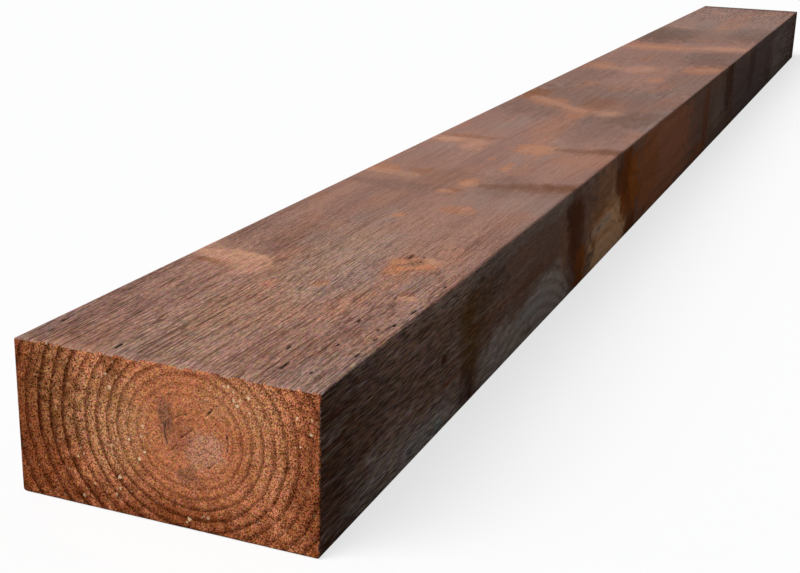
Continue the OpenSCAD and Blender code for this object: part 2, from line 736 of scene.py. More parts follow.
def noise_mask(tree, place, scales, edge, amounts=(0, 1), detail=2.0):
    """A stretched noise that turns from one amount to another across an edge."""
    return ramp(tree, fractal(tree, place, scales, detail=detail), *edge, *amounts)


def new_group(name, inputs, outputs):
    """An empty node group with named sockets; returns it with its two inner ends."""
    tree = bpy.data.node_groups.new(name, "ShaderNodeTree")
    for in_out, sockets in (("INPUT", inputs), ("OUTPUT", outputs)):
        for label, kind in sockets.items():
            tree.interface.new_socket(label, in_out=in_out, socket_type="NodeSocket" + kind)
    return tree, tree.nodes.new("NodeGroupInput").outputs, tree.nodes.new("NodeGroupOutput").inputs


def use_group(tree, group, inputs):
    """Places a node group in a tree; returns its outputs."""
    return add_node(tree, "ShaderNodeGroup", inputs, node_tree=group).outputs


print("helpers for vectors, ramps, colours, noises and groups are ready")

# %% [markdown]
# ## Growth rings
#
# Each year the tree adds a pale, soft band in spring and a dark, hard one in summer, which ends
# sharply where the next spring starts. On the ends the rings show as circles round the heart, and on
# the long faces as lines. Both come from one measure, the distance from the heart, so one node group
# serves both materials. The tree grew slowly at first and faster later, so a power of that distance
# counts the years, and the fraction of a year tells the season.

# %% Growth rings group
RING_UNIT = 2.41 * MM
RING_POWER = 0.741
RING_SHIFT = 0.25
RING_SQUASH = (1.0, 1.07)
RING_WOBBLE = 3.5 * MM
WOBBLE_SCALES = (1.2, 18, 18)
RING_TREMOR = 2.5 * MM
TREMOR_SCALES = (4, 75, 75)
PITH_REACH = (18 * MM, 60 * MM)
FAINT_AT_PITH = 0.3
SUMMER_RISE = (0.4, 0.88)
SUMMER_END = (1.0, 0.94)
FAINTEST_YEAR = 0.6

growth_rings, ring_in, ring_out = new_group(
    "growth_rings",
    {"Place": "Vector", "Bulge": "Float"},
    {"Late wood": "Float", "Season": "Float"},
)
tree = growth_rings
axes = add_node(tree, "ShaderNodeSeparateXYZ", {0: ring_in["Place"]}).outputs
run = calc(tree, "SUBTRACT", axes["X"], low.x)
offsets = []
for axis, middle, sway, turns, squash in zip("YZ", HEART.yz, HEART_SWAY, HEART_TURNS, RING_SQUASH):
    swing = calc(tree, "SINE", calc(tree, "MULTIPLY", run, turns))
    heart = calc(tree, "MULTIPLY_ADD", swing, sway, middle)
    offset = calc(tree, "SUBTRACT", axes[axis], heart)
    offsets.append(calc(tree, "MULTIPLY", offset, squash))
from_heart = add_node(tree, "ShaderNodeCombineXYZ", {1: offsets[0], 2: offsets[1]}).outputs[0]
distance = calc_vector(tree, "LENGTH", from_heart, result="Value")
wander = fractal(tree, ring_in["Place"], WOBBLE_SCALES, detail=1.0)
wobble = calc(tree, "MULTIPLY_ADD", wander, RING_WOBBLE, -RING_WOBBLE / 2)
tremor = fractal(tree, ring_in["Place"], TREMOR_SCALES)
wobble = calc(tree, "ADD", wobble, calc(tree, "MULTIPLY_ADD", tremor, RING_TREMOR, -RING_TREMOR / 2))
swollen = calc(tree, "SUBTRACT", calc(tree, "ADD", distance, wobble), ring_in["Bulge"])
grown = calc(tree, "MAXIMUM", calc(tree, "DIVIDE", swollen, RING_UNIT), 0.0)
years = calc(tree, "SUBTRACT", calc(tree, "POWER", grown, RING_POWER), RING_SHIFT)
season = calc(tree, "FRACT", years)
summer = calc(tree, "MULTIPLY", ramp(tree, season, *SUMMER_RISE), ramp(tree, season, *SUMMER_END))
year = calc(tree, "FLOOR", years)
vigour = add_node(tree, "ShaderNodeTexWhiteNoise", {"W": year}, noise_dimensions="1D").outputs["Value"]
late = calc(tree, "MULTIPLY", summer, ramp(tree, vigour, 0, 1, FAINTEST_YEAR, 1))
late = calc(tree, "MULTIPLY", late, ramp(tree, distance, *PITH_REACH, FAINT_AT_PITH, 1))
tree.links.new(late, ring_out["Late wood"])
tree.links.new(season, ring_out["Season"])
ring_count = (width / 2 / RING_UNIT) ** RING_POWER
print(f"ring group with {len(tree.nodes)} nodes, {ring_count:.0f} rings in half the width")

# %% [markdown]
# ## One knot
#
# A knot does four things to the timber. It shows its own dark or pale wood, it colours the grain
# round it, it swells the rings outwards, and it pushes the fibre aside, which flows round it as water
# flows round a post. A group that takes these in, adds one branch, and hands them on can be chained,
# one for each branch, and the chain ends with the sum of them all.

# %% Knot group
SHORTEN_FOR_KNOT = (1 / KNOT_STRETCH, 1, 1)

carried = {
    "Nearest": "Float", "Knot shade": "Float", "Glow": "Float", "Bulge": "Float", "Grain shift": "Vector",
}
branch_knot, knot_in, knot_out = new_group(
    "branch_knot",
    {"Place": "Vector", "Root": "Vector", "Run": "Vector", "Girth": "Float", "Flare": "Float",
     "Shade": "Float", **carried},
    carried,
)
tree = branch_knot
offset = calc_vector(tree, "SUBTRACT", knot_in["Place"], knot_in["Root"])
ahead = calc_vector(tree, "DOT_PRODUCT", offset, knot_in["Run"], result="Value")
span = calc_vector(tree, "DOT_PRODUCT", knot_in["Run"], knot_in["Run"], result="Value")
share = calc(tree, "MAXIMUM", calc(tree, "DIVIDE", ahead, span), 0.0)
share = calc(tree, "MINIMUM", share, 1.0)
middle = add_node(tree, "ShaderNodeVectorMath", {0: knot_in["Run"], "Scale": share}, operation="SCALE")
aside = calc_vector(tree, "SUBTRACT", offset, middle.outputs[0])
girth = calc(tree, "MULTIPLY_ADD", share, knot_in["Flare"], knot_in["Girth"])
flat = calc_vector(tree, "MULTIPLY", aside, SHORTEN_FOR_KNOT)
near = calc(tree, "DIVIDE", calc_vector(tree, "LENGTH", flat, result="Value"), girth)
closer = calc(tree, "LESS_THAN", near, knot_in["Nearest"])
change = calc(tree, "SUBTRACT", knot_in["Shade"], knot_in["Knot shade"])
tree.links.new(calc(tree, "MINIMUM", near, knot_in["Nearest"]), knot_out["Nearest"])
tree.links.new(calc(tree, "MULTIPLY_ADD", closer, change, knot_in["Knot shade"]), knot_out["Knot shade"])
print(f"a knot that hands on {len(carried)} values")

# %% [markdown]
# ### What a knot does to the timber round it
#
# The glow and the flow reach further along the grain than across it, so they measure the distance in
# a space that is shortened along the baulk. A bell curve of that distance fades them out.

# %% Knot surroundings
SHORTEN_FOR_GLOW = (0.28, 0.8, 0.8)
BELL_FALL = 0.5
FLOW_STRENGTH = 0.6
FLOW_SOFTNESS = 0.7
ACROSS_GRAIN = (0, 1, 1)

wide = calc_vector(tree, "MULTIPLY", aside, SHORTEN_FOR_GLOW)
wide_square = calc_vector(tree, "DOT_PRODUCT", wide, wide, result="Value")
spread = calc(tree, "DIVIDE", wide_square, calc(tree, "MULTIPLY", girth, girth))
bell = calc(tree, "EXPONENT", calc(tree, "MULTIPLY", spread, -BELL_FALL))
paleness = calc(tree, "MAXIMUM", knot_in["Shade"], 0.0)
tree.links.new(calc(tree, "MULTIPLY_ADD", bell, paleness, knot_in["Glow"]), knot_out["Glow"])
tree.links.new(calc(tree, "MULTIPLY_ADD", bell, girth, knot_in["Bulge"]), knot_out["Bulge"])
push = calc(tree, "DIVIDE", FLOW_STRENGTH, calc(tree, "ADD", spread, FLOW_SOFTNESS))
sidestep = calc_vector(tree, "MULTIPLY", aside, ACROSS_GRAIN)
shift = add_node(tree, "ShaderNodeVectorMath", {0: sidestep, "Scale": push}, operation="SCALE")
moved_grain = calc_vector(tree, "SUBTRACT", knot_in["Grain shift"], shift.outputs[0])
tree.links.new(moved_grain, knot_out["Grain shift"])
print(f"knot group with {len(tree.nodes)} nodes")

# %% [markdown]
# ## Soft stains
#
# Preservative doesn't take evenly. Here and there the timber is greyer, redder or darker, with no
# clear edge. A group that lays one soft oval of colour over another colour can be used for each of
# them, on the long faces and on the ends. A noise handed in as Mottle frays the oval's edge.

# %% Stain group
soft_stain, stain_in, stain_out = new_group(
    "soft_stain",
    {"Under": "Color", "Place": "Vector", "Centre": "Vector", "Reach": "Vector", "Stain": "Color",
     "Strength": "Float", "Mottle": "Float"},
    {"Colour": "Color"},
)
tree = soft_stain
OVAL_CORE = 0.45
MOTTLE_SHARE = 1.3
MOTTLE_ROUGHNESS = 0.65


def from_centre(tree, place, centre, reach):
    """Distance from the middle of an oval: 0 in the middle and 1 at its edge."""
    apart = calc_vector(tree, "SUBTRACT", place, centre)
    return calc_vector(tree, "LENGTH", calc_vector(tree, "DIVIDE", apart, reach), result="Value")


def frayed_edge(tree, place, scales):
    """A noise round nothing, which frays the edge of an oval."""
    frayed = fractal(tree, place, scales, detail=3.0, roughness=MOTTLE_ROUGHNESS)
    return calc(tree, "MULTIPLY_ADD", frayed, MOTTLE_SHARE, -MOTTLE_SHARE / 2)


spread = from_centre(tree, stain_in["Place"], stain_in["Centre"], stain_in["Reach"])
spread = calc(tree, "ADD", spread, stain_in["Mottle"])
amount = calc(tree, "MULTIPLY", ramp(tree, spread, 1.0, OVAL_CORE), stain_in["Strength"])
tree.links.new(tint(tree, amount, stain_in["Under"], stain_in["Stain"]), stain_out["Colour"])
print(f"stain group with {len(tree.nodes)} nodes")

# %% [markdown]
# ## The sawn long faces
#
# Preservative and weather leave the sawn faces a dull mauve brown. A coarse saw lifts and tears the
# fibre, so the faces are ribbed with fine dark lines along the grain. Round the knots the timber is
# paler and more orange. The chain of knots comes first here, because the fibre and the rings read
# what it did to the grain.

# %% Knots in the sawn face
sawn_face, tree = new_material("sawn_face")
FAR_AWAY = 50.0
SIDE_SEAM = (0.0, 2 * MM)
WEAR_REACH = (0.1, 0.48)
LEAST_WEAR = 0.22
DIP_DEPTH = 60
STAIN_DEPTH = 40
# Each dip of the rings, where the log was thinner: its face, its middle as along and across, half its
# length and half its width, and how far the rings draw in there, in mm.
DIPS = (
    ("front", 405, 105, 170, 75, 28),
    ("front", 655, 105, 110, 75, 26),
    ("front", 1800, 100, 200, 80, 20),
)


def oval_reach(face, half_length, half_width, depth=STAIN_DEPTH):
    """The three half sizes of an oval that lies on a face and reaches some way under it."""
    if face in ("top", "bed"):
        return Vector((half_length, half_width, depth)) * MM
    return Vector((half_length, depth, half_width)) * MM


place = add_node(tree, "ShaderNodeTexCoord").outputs["Object"]
axes = add_node(tree, "ShaderNodeSeparateXYZ", {0: place}).outputs
side_gap = calc(tree, "SUBTRACT", width / 2, calc(tree, "ABSOLUTE", axes["Y"]))
flat_gap = calc(tree, "MINIMUM", axes["Z"], calc(tree, "SUBTRACT", height, axes["Z"]))
beside = ramp(tree, calc(tree, "SUBTRACT", flat_gap, side_gap), *SIDE_SEAM)
from_end = calc(tree, "SUBTRACT", length / 2, calc(tree, "ABSOLUTE", axes["X"]))
wear = ramp(tree, from_end, *WEAR_REACH, 1.0, LEAST_WEAR)
chain = {"Nearest": FAR_AWAY}
for branch in branches:
    knot = use_group(tree, branch_knot, {"Place": place, **branch, **chain})
    chain = {name: knot[name] for name in carried}
grain = calc_vector(tree, "ADD", place, chain["Grain shift"])
bulge = chain["Bulge"]
for face, along, across, half_length, half_width, dip in DIPS:
    reach = oval_reach(face, half_length, half_width, DIP_DEPTH)
    spread = from_centre(tree, place, face_point(face, along, across), reach)
    bulge = calc(tree, "SUBTRACT", bulge, ramp(tree, spread, 1.0, 0.0, 0, dip * MM))
rings = use_group(tree, growth_rings, {"Place": place, "Bulge": bulge})
print(f"{len(branches)} knots and {len(DIPS)} dips of the rings in the sawn face")

# %% [markdown]
# ### The colours of the top
#
# The top is a mauve brown with stains over it: pale and orange round the knots, burnt where resin came
# out, and dusky where more preservative soaked in. Each is a soft oval, and they are listed roughly in
# order from the near end to the far one.

# %% Stains of the top
PALE_PINK = (0.545, 0.28, 0.19, 1)
ORANGE = (0.45, 0.193, 0.104, 1)
# A bright tan; on the front it also stands for a painted pool of light.
TAN_AND_PAINTED_LIGHT = (1.0, 0.55, 0.29, 1)
RED_BROWN = (0.55, 0.2, 0.1, 1)
KNOT_BROWN = (0.26, 0.105, 0.05, 1)
UMBER = (0.2, 0.09, 0.055, 1)
BRIGHT_ORANGE = (0.5, 0.185, 0.078, 1)
DUSK = (0.16, 0.1, 0.08, 1)
COOL_GREY = (0.3, 0.235, 0.205, 1)
OLIVE = (0.41, 0.242, 0.165, 1)
# Each stain: its middle as along and across, half its length and half its width, in mm, its colour,
# and its strength.
TOP_STAINS = (
    (0, 40, 60, 90, DUSK, 0.25),
    (40, 165, 80, 60, KNOT_BROWN, 0.18),
    (90, 92, 150, 44, OLIVE, 0.45),
    (250, 98, 110, 34, OLIVE, 0.45),
    (275, 30, 70, 56, DUSK, 0.2),
    (207, 15, 16, 22, PALE_PINK, 0.8),
    (202, 38, 20, 30, PALE_PINK, 0.8),
    (190, 55, 24, 18, PALE_PINK, 0.8),
    (208, 46, 10, 22, TAN_AND_PAINTED_LIGHT, 0.12),
    (214, 38, 5, 30, TAN_AND_PAINTED_LIGHT, 0.25),
    (191, 21, 8, 16, KNOT_BROWN, 0.9),
    (186, 34, 8, 12, KNOT_BROWN, 0.75),
    (228, 146, 20, 10, BRIGHT_ORANGE, 0.6),
    (247, 155, 24, 20, BRIGHT_ORANGE, 0.9),
    (259, 166, 12, 7, PALE_PINK, 0.9),
    (243, 151, 9, 8, UMBER, 0.7),
    (252, 156, 10, 9, UMBER, 0.85),
    (263, 147, 9, 5, UMBER, 0.8),
    (171, 181, 7, 12, PALE_PINK, 0.8),
    (180, 176, 6, 8, KNOT_BROWN, 0.6),
    (176, 116, 15, 7, ORANGE, 0.6),
    (160, 86, 15, 8, RED_BROWN, 0.35),
    (371, 93, 11, 9, ORANGE, 0.8),
    (409, 133, 16, 21, ORANGE, 0.58),
    (470, 50, 24, 70, DUSK, 0.3),
    (508, 80, 60, 170, DUSK, 0.28),
    (467, 98, 12, 11, ORANGE, 0.7),
    (475, 104, 10, 8, KNOT_BROWN, 0.6),
    (505, 106, 22, 10, ORANGE, 0.8),
    (525, 18, 24, 24, ORANGE, 0.6),
    (531, 50, 20, 16, KNOT_BROWN, 0.5),
    (499, 134, 14, 26, UMBER, 0.35),
    (513, 166, 22, 36, UMBER, 0.4),
    (510, 160, 11, 24, UMBER, 0.35),
    (524, 188, 22, 26, UMBER, 0.55),
    (526, 190, 13, 20, UMBER, 0.7),
    (584, 117, 20, 8, ORANGE, 0.7),
    (617, 91, 12, 6, ORANGE, 0.5),
    (688, 22, 18, 18, PALE_PINK, 0.7),
    (669, 56, 28, 16, PALE_PINK, 0.5),
    (714, 36, 12, 44, KNOT_BROWN, 0.5),
    (682, 116, 34, 26, ORANGE, 0.72),
    (690, 162, 22, 36, UMBER, 0.25),
    (688, 158, 11, 24, UMBER, 0.2),
    (702, 188, 24, 26, UMBER, 0.4),
    (702, 190, 12, 22, UMBER, 0.5),
    (830, 150, 130, 60, DUSK, 0.33),
    (1000, 100, 190, 190, DUSK, 0.42),
    (830, 96, 110, 26, ORANGE, 0.3),
    (893, 104, 26, 16, ORANGE, 0.4),
    (975, 48, 44, 32, ORANGE, 0.5),
    (930, 95, 38, 30, ORANGE, 0.45),
    (925, 136, 30, 24, PALE_PINK, 0.35),
    (990, 106, 70, 26, KNOT_BROWN, 0.4),
    (905, 175, 70, 40, DUSK, 0.4),
    (1030, 14, 50, 30, KNOT_BROWN, 0.65),
    (1260, 15, 220, 70, DUSK, 0.3),
    (1260, 185, 220, 60, DUSK, 0.35),
    (1225, 130, 34, 18, ORANGE, 0.5),
    (1335, 24, 60, 30, ORANGE, 0.45),
    (1320, 85, 50, 30, PALE_PINK, 0.4),
    (1360, 170, 60, 36, ORANGE, 0.5),
    (1470, 110, 130, 110, DUSK, 0.2),
    (1500, 170, 140, 60, DUSK, 0.5),
    (1605, 60, 60, 70, ORANGE, 0.45),
    (1635, 160, 50, 50, PALE_PINK, 0.4),
    (1840, 100, 190, 180, DUSK, 0.3),
    (1800, 30, 190, 80, DUSK, 0.7),
    (1880, 175, 170, 56, DUSK, 0.45),
    (2100, 100, 380, 170, COOL_GREY, 0.35),
    (2080, 112, 280, 34, ORANGE, 0.25),
    (2400, 100, 50, 170, DUSK, 0.5),
)
print(f"{len(TOP_STAINS)} stains on the top")

# %% [markdown]
# ### The colours of the other long faces
#
# The front is darker, with bands of rust where branches come out and one pale patch between them. The
# pale patch is partly the timber's own tan and partly a painted pool of light.
# The back and the bed are plainer, with a stain round each of their larger knots.

# %% Stains of the sides and the bed
HONEY = (0.56, 0.26, 0.125, 1)
RUST = (0.46, 0.13, 0.024, 1)
DARK_RUST = (0.3, 0.075, 0.014, 1)
BAND_BROWN = (0.19, 0.06, 0.025, 1)
BURNT = (0.1, 0.036, 0.016, 1)
SIDE_BROWN = (0.285, 0.158, 0.11, 1)
FAR_BROWN = (0.2, 0.14, 0.125, 1)
OLIVE_BROWN = (0.19, 0.09, 0.025, 1)
FRONT_STAINS = (
    (1200, 50, 2600, 180, SIDE_BROWN, 0.9),
    (1900, 50, 700, 120, FAR_BROWN, 0.9),
    (0, 50, 120, 100, DUSK, 0.8),
    (0, 50, 60, 120, BURNT, 0.7),
    (60, 45, 34, 34, KNOT_BROWN, 0.3),
    (292, 12, 64, 34, DUSK, 0.65),
    (194, 49, 7, 6, BURNT, 0.95),
    (200, 68, 60, 4, KNOT_BROWN, 0.8),
    (262, 40, 50, 50, OLIVE_BROWN, 0.4),
    (248, 50, 26, 50, OLIVE_BROWN, 0.75),
    (240, 92, 20, 24, BURNT, 0.95),
    (380, 46, 150, 6, KNOT_BROWN, 0.5),
    (402, 89, 12, 9, BURNT, 0.8),
    (500, 50, 24, 40, HONEY, 0.3),
    (540, 44, 38, 56, BAND_BROWN, 0.8),
    (518, 18, 18, 26, BURNT, 0.7),
    (535, 40, 22, 44, BAND_BROWN, 0.9),
    (562, 86, 26, 34, DARK_RUST, 0.9),
    # The honey and tan patch is partly the timber's own colour and partly a painted pool of light on the
    # shaded front.
    (662, 46, 92, 60, HONEY, 0.75),
    (684, 84, 112, 56, TAN_AND_PAINTED_LIGHT, 1.0),
    (614, 72, 12, 9, RUST, 0.5),
    (566, 80, 30, 30, RUST, 0.5),
    (655, 70, 70, 7, RUST, 0.3),
    (655, 48, 75, 8, RUST, 0.4),
    (960, 50, 230, 110, RED_BROWN, 0.8),
    (712, 26, 26, 24, BAND_BROWN, 0.85),
    (850, 45, 90, 60, RUST, 0.45),
    (745, 34, 40, 50, DARK_RUST, 0.95),
    (778, 40, 36, 44, RUST, 0.7),
    (772, 62, 60, 24, RUST, 0.85),
    (776, 92, 34, 22, DARK_RUST, 0.85),
    (1245, 50, 34, 60, DARK_RUST, 0.5),
    (1190, 92, 80, 22, RUST, 0.5),
    (1348, 50, 80, 60, KNOT_BROWN, 0.12),
    (1450, 22, 50, 60, BURNT, 0.7),
    (1475, 75, 50, 50, BAND_BROWN, 0.3),
    (1705, 38, 60, 44, BURNT, 0.45),
    (1960, 58, 80, 44, BURNT, 0.4),
    (2390, 50, 70, 110, BURNT, 0.45),
)
BACK_STAINS = (
    (1200, 50, 2600, 180, SIDE_BROWN, 0.9),
    (540, 60, 40, 40, KNOT_BROWN, 0.7),
    (1010, 40, 40, 40, KNOT_BROWN, 0.6),
    (1320, 66, 60, 40, ORANGE, 0.6),
    (1630, 35, 40, 40, KNOT_BROWN, 0.7),
    (2280, 45, 40, 40, KNOT_BROWN, 0.6),
)
BED_STAINS = (
    (520, 60, 40, 40, KNOT_BROWN, 0.6),
    (985, 90, 40, 40, KNOT_BROWN, 0.6),
    (1625, 130, 40, 40, KNOT_BROWN, 0.6),
)
STAINS = {"top": TOP_STAINS, "bed": BED_STAINS, "front": FRONT_STAINS, "back": BACK_STAINS}
print(f"{sum(len(stains) for stains in STAINS.values())} stains on the four long faces")

# %% [markdown]
# ### Laying the ground and the stains
#
# The ground runs warmer and cooler in long bands, with a thin grey film and an orange flush, all from
# noises that are stretched along the grain. The grey film is partly a painted sheen of the sky. The
# stains are then laid over it one by one. Their edges are broken up by a ripple and a mottle, so that
# no clean oval shows. The broad faces and the sides are stained apart, and meet at the arrises.

# %% Ground and stains of the long faces
DULL_BROWN = (0.295, 0.161, 0.125, 1)
WARM_BROWN = (0.363, 0.2, 0.15, 1)
ROSE = (0.335, 0.195, 0.162, 1)
BANDS = {"scales": (1.6, 40, 40), "edge": (0.36, 0.64), "detail": 3.0}
FILM = {"scales": (6, 18, 18), "edge": (0.48, 0.68), "amounts": (0, 0.4)}
FLUSH = {"scales": (8, 22, 22), "edge": (0.5, 0.68), "amounts": (0, 0.34)}
PALER_REACH = (0.3, 0.9)
PALER_MOST = 0.7
RIPPLE_SCALE = 45.0
RIPPLE_SIZE = (0.02, 0.009, 0.009)
CENTRED = (0.5, 0.5, 0.5)
MOTTLE_SCALES = (42, 110, 110)


def stain_faces(under, faces):
    """Lays the stains of some of the faces over a colour."""
    for face in faces:
        for along, across, half_length, half_width, stain, strength in STAINS[face]:
            stained = use_group(tree, soft_stain, {
                "Under": under, "Place": stain_place, "Centre": face_point(face, along, across),
                "Reach": oval_reach(face, half_length, half_width), "Stain": stain,
                "Strength": strength, "Mottle": mottle,
            })
            under = stained["Colour"]
    return under


colour = tint(tree, noise_mask(tree, grain, **BANDS), DULL_BROWN, WARM_BROWN)
paler = ramp(tree, axes["X"], low.x + PALER_REACH[0], low.x + PALER_REACH[1], 0, PALER_MOST)
colour = tint(tree, paler, colour, ROSE)
# A thin grey film, partly a painted sheen of the sky.
colour = tint(tree, noise_mask(tree, place, **FILM), colour, COOL_GREY)
colour = tint(tree, noise_mask(tree, place, **FLUSH), colour, ORANGE)
ripple = add_node(tree, "ShaderNodeTexNoise", {"Vector": place, "Scale": RIPPLE_SCALE, "Detail": 1.0})
ripple = calc_vector(tree, "SUBTRACT", ripple.outputs["Color"], CENTRED)
stain_place = calc_vector(tree, "ADD", place, calc_vector(tree, "MULTIPLY", ripple, RIPPLE_SIZE))
mottle = frayed_edge(tree, grain, MOTTLE_SCALES)
on_flats = stain_faces(colour, ("top", "bed"))
on_sides = stain_faces(colour, ("front", "back"))
colour = tint(tree, beside, on_flats, on_sides)
print("ground and stains laid on the long faces")

# %% [markdown]
# ### Rings, grey film and painted sheen on the long faces
#
# The rings darken what is there rather than paint over it, so the colour is multiplied by a grey. On
# the top the saw ran along the rings and they hardly show. On the sides it cut across them, and they
# show as lines and arches. There a grey film dried thickest on the soft spring wood, between the lines.
# Its paleness is partly a painted sheen of the sky, and some small bluish patches are painted sheen.

# %% Rings, grey film and painted sheen
GREY_FILM_AND_SHEEN = (0.57, 0.45, 0.385, 1)
STREAKS = {"scales": (14, 240, 240), "edge": (0.5, 0.66), "amounts": (0, 0.25)}
STREAK_REACH = (0.25, 0.55)
RING_SHADES = (1.05, 0.66)
CLEAR_RINGS_REACH = (0.16, 0.36)
CLEAR_RINGS = (0.05, 0.25)
LEAST_RINGS = 0.12
SPRING_RISE = (0.0, 0.25)
SPRING_END = (0.75, 0.5)
LEAST_FILM = 0.65
# Each patch of grey film, whose paleness is partly a painted sheen of the sky: its face, its middle as
# along and across, half its length and half its width, in mm, and its strength.
GREY_PATCHES = (
    ("front", 140, 92, 130, 34, 0.62),
    ("front", 182, 90, 50, 20, 0.85),
    ("front", 330, 88, 80, 34, 0.9),
    ("front", 440, 84, 100, 38, 0.9),
    ("front", 350, 4, 300, 12, 0.4),
    ("front", 1348, 50, 60, 40, 0.2),
    ("front", 2100, 50, 200, 60, 0.3),
    ("back", 400, 60, 220, 60, 0.3),
    ("back", 1200, 50, 320, 60, 0.25),
)
# A painted sheen of the sky: small pale bluish patches on the shaded front.
SHEEN_BLUE_GREY = (0.42, 0.44, 0.43, 1)
PAINTED_SHEEN_PATCHES = (
    ("front", 188, 92, 11, 7, 0.75),
    ("front", 150, 92, 60, 12, 0.25),
    ("front", 410, 76, 60, 10, 0.3),
    ("front", 648, 60, 56, 7, 0.28),
)


def film_and_sheen_amount(patches):
    """How strongly some patches lie, from nothing to one; they are grey film and painted sheen."""
    amount = 0.0
    for face, along, across, half_length, half_width, strength in patches:
        reach = oval_reach(face, half_length, half_width)
        spread = from_centre(tree, stain_place, face_point(face, along, across), reach)
        spread = calc(tree, "ADD", spread, mottle)
        amount = calc(tree, "MAXIMUM", amount, ramp(tree, spread, 1.0, OVAL_CORE, 0, strength))
    return amount


ring_shade = ramp(tree, rings["Late wood"], 0, 1, *RING_SHADES)
clear_rings = ramp(tree, from_end, *CLEAR_RINGS_REACH, *CLEAR_RINGS)
ring_amount = calc(tree, "MULTIPLY_ADD", beside, clear_rings, LEAST_RINGS)
colour = tint(tree, ring_amount, colour, ring_shade, blend="MULTIPLY")
season = rings["Season"]
spring = calc(tree, "MULTIPLY", ramp(tree, season, *SPRING_RISE), ramp(tree, season, *SPRING_END))
near_end = ramp(tree, from_end, *STREAK_REACH, 1, 0)
streaks = calc(tree, "MULTIPLY", noise_mask(tree, place, **STREAKS), near_end)
grey = calc(tree, "MULTIPLY", calc(tree, "MAXIMUM", film_and_sheen_amount(GREY_PATCHES), streaks), beside)
grey = calc(tree, "MULTIPLY", grey, ramp(tree, spring, 0, 1, LEAST_FILM, 1))
# Grey film, partly a painted sheen of the sky, thickest on the spring wood.
colour = tint(tree, grey, colour, GREY_FILM_AND_SHEEN)
# The bluish patches are painted sheen.
colour = tint(tree, calc(tree, "MULTIPLY", film_and_sheen_amount(PAINTED_SHEEN_PATCHES), beside), colour, SHEEN_BLUE_GREY)
print(f"{len(GREY_PATCHES)} patches of grey film and {len(PAINTED_SHEEN_PATCHES)} of bluish film")

# %% [markdown]
# ### The wood of the knots
#
# A knot has rings of its own and drying cracks, and its outline is ragged.

# %% Wood of the knots
KNOT_DARK = (0.15, 0.062, 0.034, 1)
KNOT_PALE = (0.58, 0.31, 0.2, 1)
BARK_DARK = (0.1, 0.04, 0.02, 1)
GLOW_SHARE = 0.3
KNOT_SHARE = 0.3
RAGGED_SCALES = (45, 110, 110)
RAGGED_SHARE = 0.9
KNOT_RIM = (1.15, 0.75)
KNOT_RINGS = 2.6
KNOT_RING_RANGE = (0.6, 1.0)
KNOT_RING_MOST = 0.25
KNOT_CRACKS = {"scales": (110, 300, 300), "edge": (0.6, 0.7), "amounts": (0, 0.7)}

pink_glow = calc(tree, "MULTIPLY", chain["Glow"], GLOW_SHARE, clamp=True)
colour = tint(tree, pink_glow, colour, PALE_PINK)
ragged = fractal(tree, place, RAGGED_SCALES, detail=3.0, roughness=0.6)
ragged = calc(tree, "MULTIPLY_ADD", ragged, RAGGED_SHARE, -RAGGED_SHARE / 2)
nearest = calc(tree, "ADD", chain["Nearest"], ragged)
inside = ramp(tree, nearest, *KNOT_RIM)
knot_colour = tint(tree, ramp(tree, chain["Knot shade"], -1, 1), KNOT_DARK, KNOT_PALE)
knot_season = calc(tree, "PINGPONG", calc(tree, "MULTIPLY", nearest, KNOT_RINGS), 1.0)
ring_dark = ramp(tree, knot_season, *KNOT_RING_RANGE, 0, KNOT_RING_MOST)
knot_colour = tint(tree, ring_dark, knot_colour, BARK_DARK)
knot_colour = tint(tree, noise_mask(tree, place, **KNOT_CRACKS), knot_colour, BARK_DARK)
colour = tint(tree, calc(tree, "MULTIPLY", inside, KNOT_SHARE), colour, knot_colour)
print("knots with rings and cracks of their own")

# %% [markdown]
# ### Torn fibre
#
# The saw tore the fibre into fine dark lines along the grain, with short black dashes where a sliver
# came out. Their darkness is partly the timber's own and partly a painted shade of the small grooves.
# Stretched noises make both: where the noise is high a line is drawn, and the stretch makes it long.
# The lines multiply the colour. They are strongest towards the ends, where the baulk is handled most,
# and fade on the knots.

# %% Torn lines of the sawn face
LINES = {"scales": (11, 780, 780), "edge": (0.54, 0.64), "detail": 1.0}
BREAKS = {"scales": (20, 90, 90), "edge": (0.4, 0.6), "amounts": (0.6, 0.85)}
DASH_SCALES = (40, 520, 520)
DASH_EDGE = (0.58, 0.64)
PATCHES = {"scales": (7, 24, 24), "edge": (0.4, 0.62), "amounts": (0.55, 0.75)}
SIDE_DASHES = 0.5
SIDE_LINES = 0.8
CALM_GLOW = 0.8
CALM_LINES = 0.4
LINE_SHADE = (0.35, 0.28, 0.25, 1)

lines = calc(tree, "MULTIPLY", noise_mask(tree, grain, **LINES), noise_mask(tree, place, **BREAKS))
dashes = noise_mask(tree, grain, DASH_SCALES, DASH_EDGE, detail=1.0)
patches = noise_mask(tree, place, **PATCHES)
patches = calc(tree, "MULTIPLY", patches, ramp(tree, beside, 0, 1, 1, SIDE_DASHES))
dark_lines = calc(tree, "MAXIMUM", lines, calc(tree, "MULTIPLY", dashes, patches))
calm = calc(tree, "MAXIMUM", inside, calc(tree, "MULTIPLY", chain["Glow"], CALM_GLOW, clamp=True))
dark_lines = calc(tree, "MULTIPLY", dark_lines, ramp(tree, calm, 0, 1, 1, CALM_LINES))
dark_lines = calc(tree, "MULTIPLY", dark_lines, ramp(tree, beside, 0, 1, 1, SIDE_LINES))
# The lines darken the colour: partly the torn fibre's own tone, partly painted shade in its grooves.
colour = tint(tree, calc(tree, "MULTIPLY", dark_lines, wear), colour, LINE_SHADE, blend="MULTIPLY")
print("dark lines and dashes along the grain")

